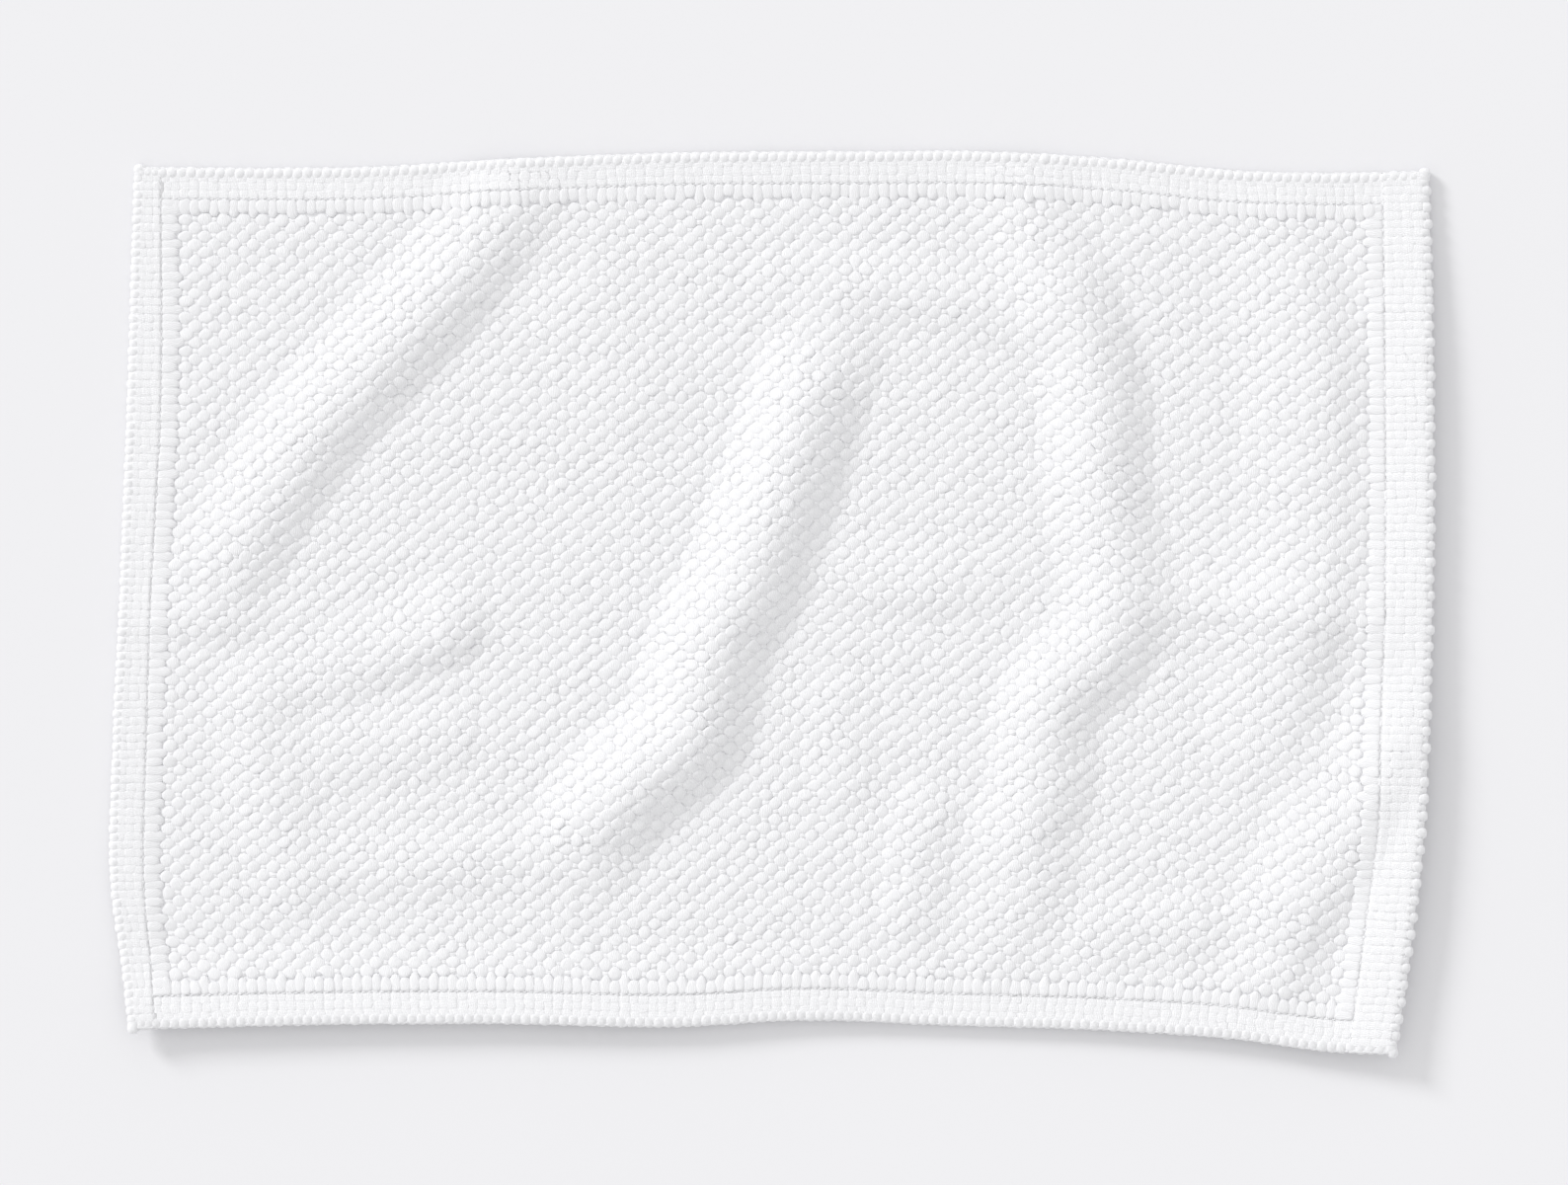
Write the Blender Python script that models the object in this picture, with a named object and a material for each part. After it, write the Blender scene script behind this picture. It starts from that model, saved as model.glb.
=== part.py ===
"""Plain white cotton bath mat, lying as it was put down, with soft folds in it.

Metres, +Z up, X along the mat's long side. The mat stands on z = 0 with the middle of its
bounding box over the origin. It is one thick woven cloth: a coarse pebble weave in the field,
a flatter plain weave in the turned hems, and a lockstitch seam along the root of each hem.

The cloth is drawn flat first, in flat coordinates (u, v), and then laid: lie() gives the place
in the room of each point of the flat cloth. Everything here goes through lie(), so that the
field, the hems and the threads keep together when a size changes.
"""

import math

import bmesh
import bpy
import numpy as np

# ---------------------------------------------------------------- driving dimensions (metres)
FLAT_LENGTH = 0.914            # the cloth spread out flat, hems included
FLAT_WIDTH = 0.610
THICKNESS = 0.009              # pebble weave, and the hem folded double
LEFT_HEM = 0.025               # outer fold to seam
RIGHT_HEM = 0.033
END_HEM = 0.023
EDGE_ROUND = 0.0040            # how far in the rounded fold of a hem reaches
EDGE_WALL = 0.32               # height left at the outermost fold, as a share of the thickness
SEAM_GROOVE_DEPTH = 0.0022     # how far a seam pulls the cloth in, on each face
SEAM_GROOVE_WIDTH = 0.0030     # on each side of the seam
THREAD_DIAMETER = 0.0010
THREAD_CLEARANCE = 0.0003      # thread to cloth
PANEL_GAP = 0.0003             # between touching solids
GRID_CELL = 0.019              # spacing of the mesh lines across the cloth

LENGTH_TAKEN_UP = 0.0081       # share of the length that the folds take up
WIDTH_TAKEN_UP = 0.0121
SETTLING = 0.0006              # folds lower than this lie flat on the floor

# How far each long line of the cloth drifts outwards from straight: (place along it, drift).
# The place runs from -1 at the left or bottom end to 1 at the right or top end.
LEFT_EDGE_DRIFT = (
    (-1.0, -0.0113), (-0.88, -0.0072), (-0.68, 0.0019), (-0.35, 0.0013),
    (0.0, -0.0038), (0.45, -0.0086), (1.0, -0.0147),
)
LEFT_SEAM_DRIFT = (
    (-1.0, -0.0040), (-0.88, -0.0013), (-0.68, 0.0042), (-0.35, 0.0028),
    (0.0, -0.0006), (0.45, -0.0074), (1.0, -0.0074),
)
RIGHT_DRIFT = (
    (-1.0, -0.0250), (-0.85, -0.0180), (-0.68, -0.0112), (-0.5, -0.0052),
    (-0.3, -0.0025), (0.0, 0.0006), (0.6, 0.0009), (1.0, -0.0011),
)
TOP_DRIFT = (
    (-1.0, -0.0048), (-0.6, -0.0041), (-0.42, 0.0006), (-0.2, 0.0047), (0.1, 0.0061),
    (0.33, 0.0058), (0.53, 0.0006), (0.7, -0.0069), (0.82, -0.0086), (1.0, -0.0075),
)
BOTTOM_DRIFT = (
    (-1.0, -0.0028), (-0.7, -0.0061), (-0.42, -0.0069), (-0.12, -0.0048), (0.06, -0.0089),
    (0.3, -0.0055), (0.55, -0.0020), (0.75, 0.0040), (0.9, 0.0125), (1.0, 0.0140),
)

# The soft folds: crest points (share of the half length, share of the half width, share of the
# fold's height there), then the height of the fold and how far it slopes to the left and to the
# right of the way along its crest.
FOLDS = (
    # the long fold that runs from the top hem down to the left
    (((-0.36, 0.97, 0.10), (-0.42, 0.86, 0.65), (-0.51, 0.70, 1.00), (-0.60, 0.56, 1.00),
      (-0.70, 0.39, 1.00), (-0.76, 0.25, 0.90), (-0.81, 0.11, 0.70), (-0.85, -0.01, 0.30)),
     0.0112, (0.044, 0.057)),
    # the high fold through the middle
    (((0.08, 0.53, 0.40), (0.05, 0.44, 0.85), (0.01, 0.23, 1.00), (-0.04, 0.01, 1.00),
      (-0.08, -0.10, 1.00), (-0.10, -0.21, 1.00), (-0.12, -0.33, 1.00), (-0.20, -0.44, 0.95),
      (-0.25, -0.53, 0.80), (-0.27, -0.61, 0.40), (-0.29, -0.69, 0.10)), 0.0160, (0.050, 0.057)),
    # the bent fold on the right of the middle
    (((0.37, 0.98, 0.10), (0.40, 0.79, 0.55), (0.44, 0.68, 0.92), (0.47, 0.57, 1.00),
      (0.49, 0.43, 1.00), (0.49, 0.32, 1.00), (0.50, 0.21, 0.95), (0.52, 0.08, 0.85),
      (0.52, -0.01, 0.85), (0.50, -0.13, 0.90), (0.44, -0.23, 0.90), (0.42, -0.35, 0.80),
      (0.42, -0.46, 0.75), (0.40, -0.56, 0.60), (0.41, -0.66, 0.45), (0.38, -0.77, 0.20)),
     0.0128, (0.045, 0.052)),
    # the low bridge between those two
    (((0.00, 0.69, 0.60), (0.18, 0.68, 1.00), (0.37, 0.61, 0.70)), 0.0045, (0.040, 0.036)),
    # the broad swell near the right hem
    (((0.79, 0.83, 0.40), (0.81, 0.68, 0.90), (0.83, 0.52, 1.10), (0.83, 0.34, 0.90),
      (0.83, 0.10, 0.90), (0.80, -0.10, 1.00), (0.77, -0.30, 0.60)), 0.0070, (0.040, 0.075)),
    # the fold across the lower right corner
    (((0.93, -0.32, 0.50), (0.89, -0.45, 0.90), (0.86, -0.57, 1.00), (0.83, -0.69, 1.00),
      (0.81, -0.80, 0.60)), 0.0090, (0.038, 0.062)),
    # the short fold left of the middle
    (((-0.72, -0.21, 0.30), (-0.60, -0.15, 0.60), (-0.50, -0.10, 1.00)), 0.0076, (0.056, 0.033)),
    # the swells below it
    (((-0.79, -0.25, 0.90), (-0.75, -0.47, 1.00), (-0.72, -0.67, 0.60)), 0.0040, (0.044, 0.044)),
    (((-0.68, -0.64, 0.50), (-0.50, -0.63, 1.00), (-0.36, -0.61, 0.60)), 0.0036, (0.038, 0.038)),
    (((-0.66, -0.37, 0.80), (-0.50, -0.34, 1.00)), 0.0032, (0.042, 0.042)),
    # small swells between the large folds
    (((-0.30, 0.62, 1.00), (-0.22, 0.46, 1.00)), 0.0030, (0.062, 0.062)),
    (((0.11, 0.01, 0.60), (0.22, -0.01, 1.00), (0.31, -0.01, 0.50)), 0.0044, (0.050, 0.028)),
    (((0.10, -0.28, 1.00), (0.12, -0.44, 1.00)), 0.0026, (0.040, 0.040)),
    (((0.24, -0.52, 1.00), (0.23, -0.74, 0.90)), 0.0036, (0.036, 0.036)),
    (((0.52, -0.77, 0.90), (0.66, -0.75, 1.00)), 0.0036, (0.038, 0.038)),
    # what is left of two packing creases
    (((0.61, -0.02, 1.00), (0.74, -0.02, 1.00), (0.88, -0.03, 0.90)), 0.0036, (0.066, 0.048)),
    (((0.61, -0.02, 1.00), (0.74, -0.02, 1.00), (0.88, -0.03, 0.90)), 0.0018, (0.036, 0.015)),
    (((-0.99, -0.06, 1.00), (-0.78, -0.07, 0.80)), 0.0014, (0.030, 0.016)),
)

# How high each edge lifts off the floor: (place along it, lift), and how far in it reaches.
LEFT_LIFT = ((-1.0, 0.0060), (-0.8, 0.0040), (-0.35, 0.0015), (0.3, 0.0005), (1.0, 0.0005))
RIGHT_LIFT = (
    (-1.0, 0.0095), (-0.75, 0.0115), (-0.45, 0.0115), (0.0, 0.0085), (0.6, 0.0070), (1.0, 0.0008),
)
TOP_LIFT = ((-1.0, 0.0005), (-0.4, 0.0010), (0.0, 0.0018), (0.4, 0.0010), (1.0, 0.0008))
BOTTOM_LIFT = (
    (-1.0, 0.0100), (-0.6, 0.0080), (-0.25, 0.0070), (0.0, 0.0045), (0.2, 0.0022),
    (0.6, 0.0034), (0.8, 0.0055), (1.0, 0.0085),
)
LEFT_REACH = 0.060
RIGHT_REACH = 0.072
TOP_REACH = 0.050
BOTTOM_REACH = 0.075

# ---------------------------------------------------------------- worked out from them
HALF_LENGTH = FLAT_LENGTH / 2
HALF_WIDTH = FLAT_WIDTH / 2
LEFT_SEAM_U = -HALF_LENGTH + LEFT_HEM
RIGHT_SEAM_U = HALF_LENGTH - RIGHT_HEM
BOTTOM_SEAM_V = -HALF_WIDTH + END_HEM
TOP_SEAM_V = HALF_WIDTH - END_HEM
LAID_PER_LENGTH = 1 - LENGTH_TAKEN_UP
LAID_PER_WIDTH = 1 - WIDTH_TAKEN_UP
CREST_SAMPLES = 12             # points read from the smooth crest per stretch


def smooth_through(knots, places):
    """Smooth curve through a few knots (place, value), read at the given places."""
    at = np.array([place for place, _ in knots])
    value = np.array([amount for _, amount in knots])
    slope = np.gradient(value, at)
    places = np.clip(places, at[0], at[-1])
    index = np.clip(np.searchsorted(at, places, side="right") - 1, 0, len(at) - 2)
    span = at[index + 1] - at[index]
    t = (places - at[index]) / span
    start = (1 + 2 * t) * (1 - t) ** 2 * value[index] + t * (1 - t) ** 2 * span * slope[index]
    end = t ** 2 * (3 - 2 * t) * value[index + 1] - t ** 2 * (1 - t) * span * slope[index + 1]
    return start + end


def crest_line(points):
    """Dense smooth line through a fold's crest points: flat metres, and share of its height."""
    along = np.arange(len(points))
    fine = np.linspace(0, len(points) - 1, (len(points) - 1) * CREST_SAMPLES + 1)
    u, v, share = (smooth_through(list(zip(along, column)), fine) for column in zip(*points))
    return u * HALF_LENGTH, v * HALF_WIDTH, share


def fold_height(u, v, fold):
    """Height that one fold adds: a cosine hump across the crest that dies out past its ends."""
    points, height, (left_reach, right_reach) = fold
    crest_u, crest_v, share = crest_line(points)
    nearest = np.hypot(u[..., None] - crest_u, v[..., None] - crest_v).argmin(axis=-1)
    off_u = u - crest_u[nearest]
    off_v = v - crest_v[nearest]
    away = np.hypot(off_u, off_v)
    along_u = np.gradient(crest_u)[nearest]
    along_v = np.gradient(crest_v)[nearest]
    to_left = along_u * off_v - along_v * off_u
    leftness = to_left / np.maximum(np.hypot(along_u, along_v) * away, 1e-9)
    reach = right_reach + (left_reach - right_reach) * (1 + leftness) / 2
    hump = 0.5 * (1 + np.cos(math.pi * np.minimum(away / reach, 1)))
    return height * share[nearest] * hump


def edge_lift(inset, place, lift, reach):
    """Height that a lifted edge adds, dying out at its reach inside the edge."""
    share = 0.5 * (1 + np.cos(math.pi * np.clip(inset / reach, 0, 1)))
    return smooth_through(lift, place) * share


def underside_height(u, v):
    """How far the underside of the cloth is off the floor."""
    folds = sum(fold_height(u, v, fold) for fold in FOLDS)
    lifts = (
        edge_lift(u + HALF_LENGTH, v / HALF_WIDTH, LEFT_LIFT, LEFT_REACH),
        edge_lift(HALF_LENGTH - u, v / HALF_WIDTH, RIGHT_LIFT, RIGHT_REACH),
        edge_lift(HALF_WIDTH - v, u / HALF_LENGTH, TOP_LIFT, TOP_REACH),
        edge_lift(v + HALF_WIDTH, u / HALF_LENGTH, BOTTOM_LIFT, BOTTOM_REACH),
    )
    edges = sum(np.maximum(lift, 0) ** 3 for lift in lifts) ** (1 / 3)
    return np.maximum(folds + edges - SETTLING, 0)


def between_lines(at, lines, places):
    """Place in the room between the lines on both sides of it."""
    result = lines[0] + (places - at[0]) * (lines[1] - lines[0]) / (at[1] - at[0])
    for index in (1, 2):
        share = (places - at[index]) / (at[index + 1] - at[index])
        stretch = lines[index] + share * (lines[index + 1] - lines[index])
        result = np.where(places > at[index], stretch, result)
    return result


def laid_x(u, v):
    place = v / HALF_WIDTH
    right = smooth_through(RIGHT_DRIFT, place)
    lines = (
        -HALF_LENGTH * LAID_PER_LENGTH - smooth_through(LEFT_EDGE_DRIFT, place),
        LEFT_SEAM_U * LAID_PER_LENGTH - smooth_through(LEFT_SEAM_DRIFT, place),
        RIGHT_SEAM_U * LAID_PER_LENGTH + right,
        HALF_LENGTH * LAID_PER_LENGTH + right,
    )
    return between_lines((-HALF_LENGTH, LEFT_SEAM_U, RIGHT_SEAM_U, HALF_LENGTH), lines, u)


def laid_y(u, v):
    place = u / HALF_LENGTH
    top = smooth_through(TOP_DRIFT, place)
    bottom = smooth_through(BOTTOM_DRIFT, place)
    lines = (
        -HALF_WIDTH * LAID_PER_WIDTH - bottom,
        BOTTOM_SEAM_V * LAID_PER_WIDTH - bottom,
        TOP_SEAM_V * LAID_PER_WIDTH + top,
        HALF_WIDTH * LAID_PER_WIDTH + top,
    )
    return between_lines((-HALF_WIDTH, BOTTOM_SEAM_V, TOP_SEAM_V, HALF_WIDTH), lines, v)


def half_thickness(u, v):
    """Half the cloth's thickness: notched at the seams and rounded at the outer folds."""
    to_side_seam = np.minimum(abs(u - LEFT_SEAM_U), abs(u - RIGHT_SEAM_U))
    to_end_seam = np.minimum(abs(v - BOTTOM_SEAM_V), abs(v - TOP_SEAM_V))
    between_side_seams = (u > LEFT_SEAM_U) & (u < RIGHT_SEAM_U)
    to_seam = np.where(between_side_seams, np.minimum(to_side_seam, to_end_seam), to_side_seam)
    notch = SEAM_GROOVE_DEPTH * np.clip(1 - to_seam / SEAM_GROOVE_WIDTH, 0, 1)
    inset = np.minimum(HALF_LENGTH - abs(u), HALF_WIDTH - abs(v))
    bare = np.clip(1 - inset / EDGE_ROUND, 0, 1)
    edge = EDGE_WALL + (1 - EDGE_WALL) * np.sqrt(1 - bare ** 2)
    return THICKNESS / 2 * edge - notch


def lie(u, v, through):
    """Laid place of a flat point; through is -1 on the underside, 0 midway and 1 on the face."""
    u = np.asarray(u, dtype=float)
    v = np.asarray(v, dtype=float)
    z = underside_height(u, v) + THICKNESS / 2 + through * half_thickness(u, v)
    return np.stack((laid_x(u, v), laid_y(u, v), z), axis=-1)


def mesh_lines(low, high, low_detail, high_detail):
    """Places of the mesh lines from low to high: even cells, with closer lines at each end."""
    inner_low = low + low_detail[-1]
    inner_high = high - high_detail[-1]
    cells = max(1, round((inner_high - inner_low) / GRID_CELL))
    even = np.linspace(inner_low, inner_high, cells + 1)
    near_low = [low + step for step in low_detail[:-1]]
    near_high = [high - step for step in reversed(high_detail[:-1])]
    return np.concatenate((near_low, even, near_high))


SEAM_DETAIL = (PANEL_GAP / 2, SEAM_GROOVE_WIDTH)
FOLD_DETAIL = (0.0, 0.3 * EDGE_ROUND, EDGE_ROUND)


def make_material(name, colour, roughness):
    material = bpy.data.materials.new(name)
    material.use_nodes = True
    shader = material.node_tree.nodes["Principled BSDF"]
    shader.inputs["Base Color"].default_value = (*colour, 1)
    shader.inputs["Roughness"].default_value = roughness
    shader.inputs["Metallic"].default_value = 0
    return material


def cloth_panel(name, u_lines, v_lines, material):
    """Closed slab of laid cloth under a grid of flat lines."""
    columns = len(u_lines) - 1
    rows = len(v_lines) - 1
    bm = bmesh.new()
    bmesh.ops.create_grid(bm, x_segments=columns, y_segments=rows, size=0.5)
    raised = bmesh.ops.extrude_face_region(bm, geom=bm.faces[:], use_keep_orig=True)
    top = [item for item in raised["geom"] if isinstance(item, bmesh.types.BMVert)]
    bmesh.ops.translate(bm, verts=top, vec=(0, 0, 1))
    grid = np.array([vert.co for vert in bm.verts])
    u = u_lines[np.rint((grid[:, 0] + 0.5) * columns).astype(int)]
    v = v_lines[np.rint((grid[:, 1] + 0.5) * rows).astype(int)]
    for vert, place in zip(bm.verts, lie(u, v, 2 * grid[:, 2] - 1)):
        vert.co = place
    bmesh.ops.recalc_face_normals(bm, faces=bm.faces[:])
    mesh = bpy.data.meshes.new(name)
    bm.to_mesh(mesh)
    bm.free()
    mesh.shade_smooth()
    mesh.set_sharp_from_angle(angle=math.radians(50))
    mesh.materials.append(material)
    panel = bpy.data.objects.new(name, mesh)
    bpy.context.scene.collection.objects.link(panel)
    return panel


def seam_thread(name, u, v, face, material):
    """Thread lying in a seam's groove; face is 1 for the needle thread, -1 for the bobbin's."""
    rise = THREAD_DIAMETER / 2 + THREAD_CLEARANCE
    slope = math.atan2(SEAM_GROOVE_DEPTH, SEAM_GROOVE_WIDTH)
    root = THICKNESS / 2 - SEAM_GROOVE_DEPTH + rise / math.cos(slope)
    path = lie(u, v, 0)
    path[:, 2] += face * root
    curve = bpy.data.curves.new(name, "CURVE")
    curve.dimensions = "3D"
    curve.bevel_depth = THREAD_DIAMETER / 2
    curve.bevel_resolution = 0
    curve.use_fill_caps = True
    spline = curve.splines.new("POLY")
    spline.points.add(len(path) - 1)
    for point, place in zip(spline.points, path):
        point.co = (*place, 1)
    curve.materials.append(material)
    thread = bpy.data.objects.new(name, curve)
    bpy.context.scene.collection.objects.link(thread)
    return thread


def centre_on_origin(objects):
    """Bring the middle of the whole mat's outline over the origin."""
    lines = np.linspace(-1, 1, 200)
    ends = np.ones_like(lines)
    left = laid_x(-HALF_LENGTH * ends, lines * HALF_WIDTH).min()
    right = laid_x(HALF_LENGTH * ends, lines * HALF_WIDTH).max()
    bottom = laid_y(lines * HALF_LENGTH, -HALF_WIDTH * ends).min()
    top = laid_y(lines * HALF_LENGTH, HALF_WIDTH * ends).max()
    for item in objects:
        item.location = (-(left + right) / 2, -(bottom + top) / 2, 0)


def build():
    for item in list(bpy.data.objects):
        bpy.data.objects.remove(item)

    cotton = make_material("cotton_field", (0.86, 0.85, 0.84), 0.92)
    hem_cotton = make_material("cotton_hem", (0.90, 0.89, 0.88), 0.90)
    thread_cotton = make_material("sewing_thread", (0.92, 0.92, 0.91), 0.70)

    hem_u_left = mesh_lines(-HALF_LENGTH, LEFT_SEAM_U, FOLD_DETAIL, SEAM_DETAIL)
    hem_u_right = mesh_lines(RIGHT_SEAM_U, HALF_LENGTH, SEAM_DETAIL, FOLD_DETAIL)
    hem_v_bottom = mesh_lines(-HALF_WIDTH, BOTTOM_SEAM_V, FOLD_DETAIL, SEAM_DETAIL)
    hem_v_top = mesh_lines(TOP_SEAM_V, HALF_WIDTH, SEAM_DETAIL, FOLD_DETAIL)
    field_u = mesh_lines(LEFT_SEAM_U, RIGHT_SEAM_U, SEAM_DETAIL, SEAM_DETAIL)
    field_v = mesh_lines(BOTTOM_SEAM_V, TOP_SEAM_V, SEAM_DETAIL, SEAM_DETAIL)
    full_v = np.concatenate((hem_v_bottom, field_v, hem_v_top))

    made = [
        cloth_panel("woven_field", field_u, field_v, cotton),
        cloth_panel("hem_left", hem_u_left, full_v, hem_cotton),
        cloth_panel("hem_right", hem_u_right, full_v, hem_cotton),
        cloth_panel("hem_bottom", field_u, hem_v_bottom, hem_cotton),
        cloth_panel("hem_top", field_u, hem_v_top, hem_cotton),
    ]

    side_v = full_v[2:-2]
    end_u = field_u[1:-1]
    seams = (
        ("left", np.full_like(side_v, LEFT_SEAM_U), side_v),
        ("right", np.full_like(side_v, RIGHT_SEAM_U), side_v),
        ("bottom", end_u, np.full_like(end_u, BOTTOM_SEAM_V)),
        ("top", end_u, np.full_like(end_u, TOP_SEAM_V)),
    )
    for side, u, v in seams:
        made.append(seam_thread(f"needle_thread_{side}", u, v, 1, thread_cotton))
        made.append(seam_thread(f"bobbin_thread_{side}", u, v, -1, thread_cotton))

    centre_on_origin(made)


build()
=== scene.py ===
import math

import bpy
import numpy as np
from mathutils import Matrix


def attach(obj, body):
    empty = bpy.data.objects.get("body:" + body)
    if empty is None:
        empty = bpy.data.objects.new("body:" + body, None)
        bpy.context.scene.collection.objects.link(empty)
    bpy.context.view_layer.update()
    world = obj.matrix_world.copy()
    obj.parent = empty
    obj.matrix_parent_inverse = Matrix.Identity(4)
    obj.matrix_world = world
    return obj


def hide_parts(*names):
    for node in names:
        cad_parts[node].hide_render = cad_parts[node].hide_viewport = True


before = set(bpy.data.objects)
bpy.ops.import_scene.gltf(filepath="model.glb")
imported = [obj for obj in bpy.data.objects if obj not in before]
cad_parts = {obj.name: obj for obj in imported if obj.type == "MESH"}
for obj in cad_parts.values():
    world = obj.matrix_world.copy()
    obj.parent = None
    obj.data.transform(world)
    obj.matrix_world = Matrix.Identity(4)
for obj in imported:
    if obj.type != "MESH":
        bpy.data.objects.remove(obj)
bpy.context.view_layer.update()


# ==== The lie of the cloth ====
# The mat is one thick cotton cloth. It is drawn flat in flat coordinates (u, v), in metres from
# its middle, and lie() gives the place in the room of each flat point. The folds and drifts here
# are those of the solids it replaces, so every yarn lands where the solids are.

FLAT_LENGTH = 0.914
FLAT_WIDTH = 0.610
THICKNESS = 0.009
LEFT_HEM = 0.025
RIGHT_HEM = 0.033
END_HEM = 0.023
LENGTH_TAKEN_UP = 0.0081
WIDTH_TAKEN_UP = 0.0121
SETTLING = 0.0006

LEFT_EDGE_DRIFT = (
    (-1.0, -0.0113), (-0.88, -0.0072), (-0.68, 0.0019), (-0.35, 0.0013),
    (0.0, -0.0038), (0.45, -0.0086), (1.0, -0.0147),
)
LEFT_SEAM_DRIFT = (
    (-1.0, -0.0040), (-0.88, -0.0013), (-0.68, 0.0042), (-0.35, 0.0028),
    (0.0, -0.0006), (0.45, -0.0074), (1.0, -0.0074),
)
RIGHT_DRIFT = (
    (-1.0, -0.0250), (-0.85, -0.0180), (-0.68, -0.0112), (-0.5, -0.0052),
    (-0.3, -0.0025), (0.0, 0.0006), (0.6, 0.0009), (1.0, -0.0011),
)
TOP_DRIFT = (
    (-1.0, -0.0048), (-0.6, -0.0041), (-0.42, 0.0006), (-0.2, 0.0047), (0.1, 0.0061),
    (0.33, 0.0058), (0.53, 0.0006), (0.7, -0.0069), (0.82, -0.0086), (1.0, -0.0075),
)
BOTTOM_DRIFT = (
    (-1.0, -0.0028), (-0.7, -0.0061), (-0.42, -0.0069), (-0.12, -0.0048), (0.06, -0.0089),
    (0.3, -0.0055), (0.55, -0.0020), (0.75, 0.0040), (0.9, 0.0125), (1.0, 0.0140),
)

# The soft folds: crest points (share of the half length, share of the half width, share of the
# fold's height there), then the height of the fold and how far it slopes to the left and to the
# right of the way along its crest.
FOLDS = (
    # the long fold that runs from the top hem down to the left
    (((-0.36, 0.97, 0.10), (-0.42, 0.86, 0.65), (-0.51, 0.70, 1.00), (-0.60, 0.56, 1.00),
      (-0.70, 0.39, 1.00), (-0.76, 0.25, 0.90), (-0.81, 0.11, 0.70), (-0.85, -0.01, 0.30)),
     0.0112, (0.044, 0.057)),
    # the high fold through the middle
    (((0.08, 0.53, 0.40), (0.05, 0.44, 0.85), (0.01, 0.23, 1.00), (-0.04, 0.01, 1.00),
      (-0.08, -0.10, 1.00), (-0.10, -0.21, 1.00), (-0.12, -0.33, 1.00), (-0.20, -0.44, 0.95),
      (-0.25, -0.53, 0.80), (-0.27, -0.61, 0.40), (-0.29, -0.69, 0.10)), 0.0160, (0.050, 0.057)),
    # the bent fold on the right of the middle
    (((0.37, 0.98, 0.10), (0.40, 0.79, 0.55), (0.44, 0.68, 0.92), (0.47, 0.57, 1.00),
      (0.49, 0.43, 1.00), (0.49, 0.32, 1.00), (0.50, 0.21, 0.95), (0.52, 0.08, 0.85),
      (0.52, -0.01, 0.85), (0.50, -0.13, 0.90), (0.44, -0.23, 0.90), (0.42, -0.35, 0.80),
      (0.42, -0.46, 0.75), (0.40, -0.56, 0.60), (0.41, -0.66, 0.45), (0.38, -0.77, 0.20)),
     0.0128, (0.045, 0.052)),
    # the low bridge between those two
    (((0.00, 0.69, 0.60), (0.18, 0.68, 1.00), (0.37, 0.61, 0.70)), 0.0045, (0.040, 0.036)),
    # the broad swell near the right hem
    (((0.79, 0.83, 0.40), (0.81, 0.68, 0.90), (0.83, 0.52, 1.10), (0.83, 0.34, 0.90),
      (0.83, 0.10, 0.90), (0.80, -0.10, 1.00), (0.77, -0.30, 0.60)), 0.0070, (0.040, 0.075)),
    # the fold across the lower right corner
    (((0.93, -0.32, 0.50), (0.89, -0.45, 0.90), (0.86, -0.57, 1.00), (0.83, -0.69, 1.00),
      (0.81, -0.80, 0.60)), 0.0090, (0.038, 0.062)),
    # the short fold left of the middle
    (((-0.72, -0.21, 0.30), (-0.60, -0.15, 0.60), (-0.50, -0.10, 1.00)), 0.0076, (0.056, 0.033)),
    # the swells below it
    (((-0.79, -0.25, 0.90), (-0.75, -0.47, 1.00), (-0.72, -0.67, 0.60)), 0.0040, (0.044, 0.044)),
    (((-0.68, -0.64, 0.50), (-0.50, -0.63, 1.00), (-0.36, -0.61, 0.60)), 0.0036, (0.038, 0.038)),
    (((-0.66, -0.37, 0.80), (-0.50, -0.34, 1.00)), 0.0032, (0.042, 0.042)),
    # small swells between the large folds
    (((-0.30, 0.62, 1.00), (-0.22, 0.46, 1.00)), 0.0030, (0.062, 0.062)),
    (((0.11, 0.01, 0.60), (0.22, -0.01, 1.00), (0.31, -0.01, 0.50)), 0.0044, (0.050, 0.028)),
    (((0.10, -0.28, 1.00), (0.12, -0.44, 1.00)), 0.0026, (0.040, 0.040)),
    (((0.24, -0.52, 1.00), (0.23, -0.74, 0.90)), 0.0036, (0.036, 0.036)),
    (((0.52, -0.77, 0.90), (0.66, -0.75, 1.00)), 0.0036, (0.038, 0.038)),
    # what is left of two packing creases
    (((0.61, -0.02, 1.00), (0.74, -0.02, 1.00), (0.88, -0.03, 0.90)), 0.0036, (0.066, 0.048)),
    (((0.61, -0.02, 1.00), (0.74, -0.02, 1.00), (0.88, -0.03, 0.90)), 0.0018, (0.036, 0.015)),
    (((-0.99, -0.06, 1.00), (-0.78, -0.07, 0.80)), 0.0014, (0.030, 0.016)),
)

# How high each edge lifts off the floor: (place along it, lift), and how far in it reaches.
LEFT_LIFT = ((-1.0, 0.0060), (-0.8, 0.0040), (-0.35, 0.0015), (0.3, 0.0005), (1.0, 0.0005))
RIGHT_LIFT = (
    (-1.0, 0.0095), (-0.75, 0.0115), (-0.45, 0.0115), (0.0, 0.0085), (0.6, 0.0070), (1.0, 0.0008),
)
TOP_LIFT = ((-1.0, 0.0005), (-0.4, 0.0010), (0.0, 0.0018), (0.4, 0.0010), (1.0, 0.0008))
BOTTOM_LIFT = (
    (-1.0, 0.0100), (-0.6, 0.0080), (-0.25, 0.0070), (0.0, 0.0045), (0.2, 0.0022),
    (0.6, 0.0034), (0.8, 0.0055), (1.0, 0.0085),
)
LEFT_REACH = 0.060
RIGHT_REACH = 0.072
TOP_REACH = 0.050
BOTTOM_REACH = 0.075

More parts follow.
